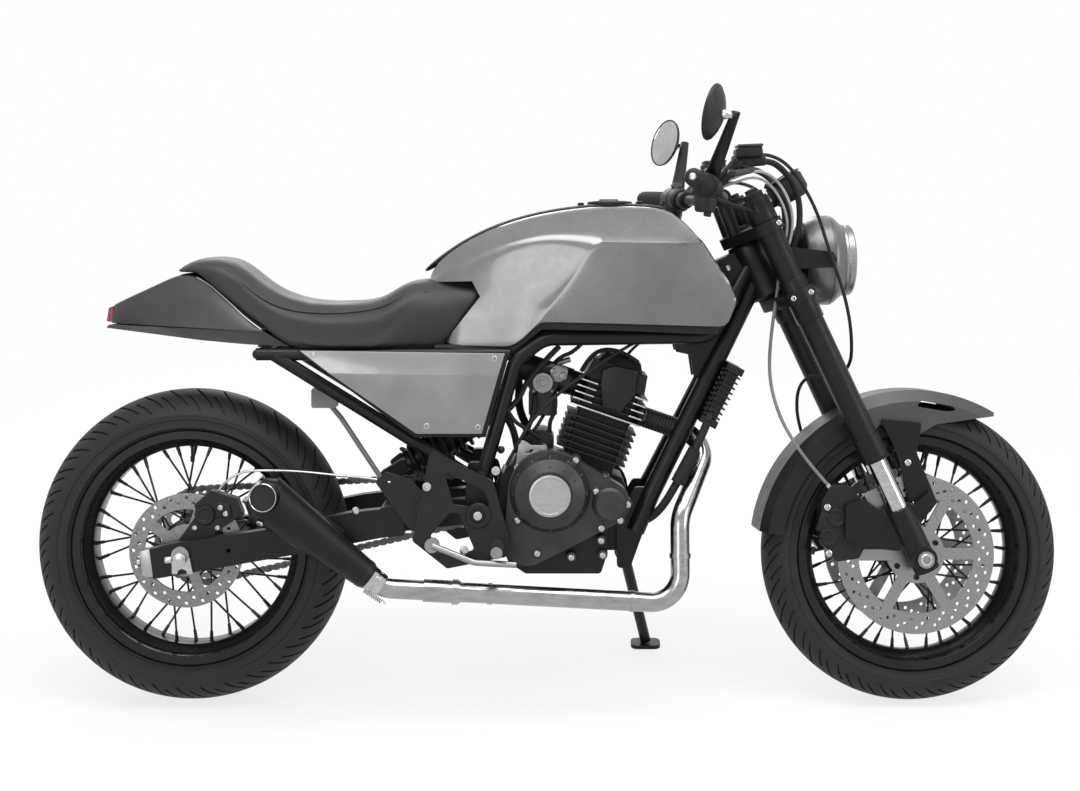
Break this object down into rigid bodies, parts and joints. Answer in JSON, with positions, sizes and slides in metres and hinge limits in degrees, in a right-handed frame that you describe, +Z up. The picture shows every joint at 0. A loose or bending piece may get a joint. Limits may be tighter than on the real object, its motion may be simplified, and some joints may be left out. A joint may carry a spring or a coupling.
{
  "type": "cafe racer motorcycle",
  "caption": "Cafe racer motorcycle with finned upright single engine, wire wheels, faceted tank, humped solo seat, round headlamp and short megaphone exhaust, leaning on its side stand.",
  "frame": {"origin": "on the ground, under the middle of the whole machine's box as it stands", "axes": "+X forward along the machine, +Y to its left, +Z up"},
  "size_m": [2.0087, 0.7628, 1.2256],
  "materials": {
    "black_paint": "satin black",
    "dark_grey": "satin dark grey",
    "silver_paint": "satin silver",
    "engine_black": "black coated castings",
    "fins": "black with bright edges",
    "steel": "brushed",
    "chrome": "polished",
    "tyre": "matte",
    "rubber": "matte",
    "plastic": "matte",
    "reservoir": "translucent grey",
    "seat": "grained",
    "glass": "clear",
    "red_lens": "gloss"
  },
  "bodies": {
    "chassis": {"frame": "black_paint", "swingarm": "black_paint", "swing_pivot": "steel", "rear_axle": "steel", "rear_shock": "black_paint", "chain": "steel", "rear_caliper": "black_paint", "engine_case": "engine_black", "clutch_cover": "engine_black", "alternator_cover": "engine_black", "engine_cylinder": "fins", "engine_head": "fins", "carburettor": "engine_black", "oil_cooler": "engine_black", "exhaust_header": "chrome", "muffler": "black_paint", "fuel_tank": "silver_paint", "tank_strip": "plastic", "seat": "seat", "tail_cowl": "dark_grey", "tail_tray": "silver_paint", "tail_lamp": "red_lens", "side_panels": "silver_paint", "rearset_plates": "dark_grey", "foot_controls": "steel", "fluid_reservoir": "reservoir"},
    "steering": {"lower_yoke": "black_paint", "top_yoke": "black_paint", "fork_legs": "black_paint", "fork_stanchions": "chrome", "fork_feet": "black_paint", "front_axle": "steel", "handlebar": "black_paint", "grips": "rubber", "bar_controls": "black_paint", "mirrors": "black_paint", "headlight_shell": "silver_paint", "headlight_lens": "glass", "headlight_ears": "black_paint", "instrument": "plastic", "fender_front": "dark_grey", "fender_rear": "dark_grey", "fender_stays": "black_paint", "front_calipers": "black_paint", "brake_hoses": "rubber"},
    "front_wheel": {"front_tyre": "tyre", "front_wire_wheel": "black_paint", "front_discs": "steel"},
    "rear_wheel": {"rear_tyre": "tyre", "rear_wire_wheel": "black_paint", "rear_disc": "steel", "rear_sprocket": "steel"},
    "side_stand": {"side_stand": "black_paint"}
  },
  "joints": [
    {"name": "steering", "type": "hinge", "parent": "chassis", "child": "steering", "pos_m": [0.41256, -0.03078, 0.84877], "axis": [-0.4226, 0.1418, 0.8951], "range_deg": [-34, 26]},
    {"name": "front_wheel_spin", "type": "hinge", "parent": "steering", "child": "front_wheel", "pos_m": [0.71196, -0.1172, 0.28885], "axis": [-0.0632, 0.9807, -0.1852], "continuous": true},
    {"name": "rear_wheel_spin", "type": "hinge", "parent": "chassis", "child": "rear_wheel", "pos_m": [-0.69849, -0.11719, 0.30318], "axis": [0, 0.9877, -0.1564], "continuous": true},
    {"name": "side_stand", "type": "hinge", "parent": "chassis", "child": "side_stand", "pos_m": [0.14951, 0.003, 0.26298], "axis": [0.0016, 0.9326, 0.361], "range_deg": [0, 95.31]}
  ]
}
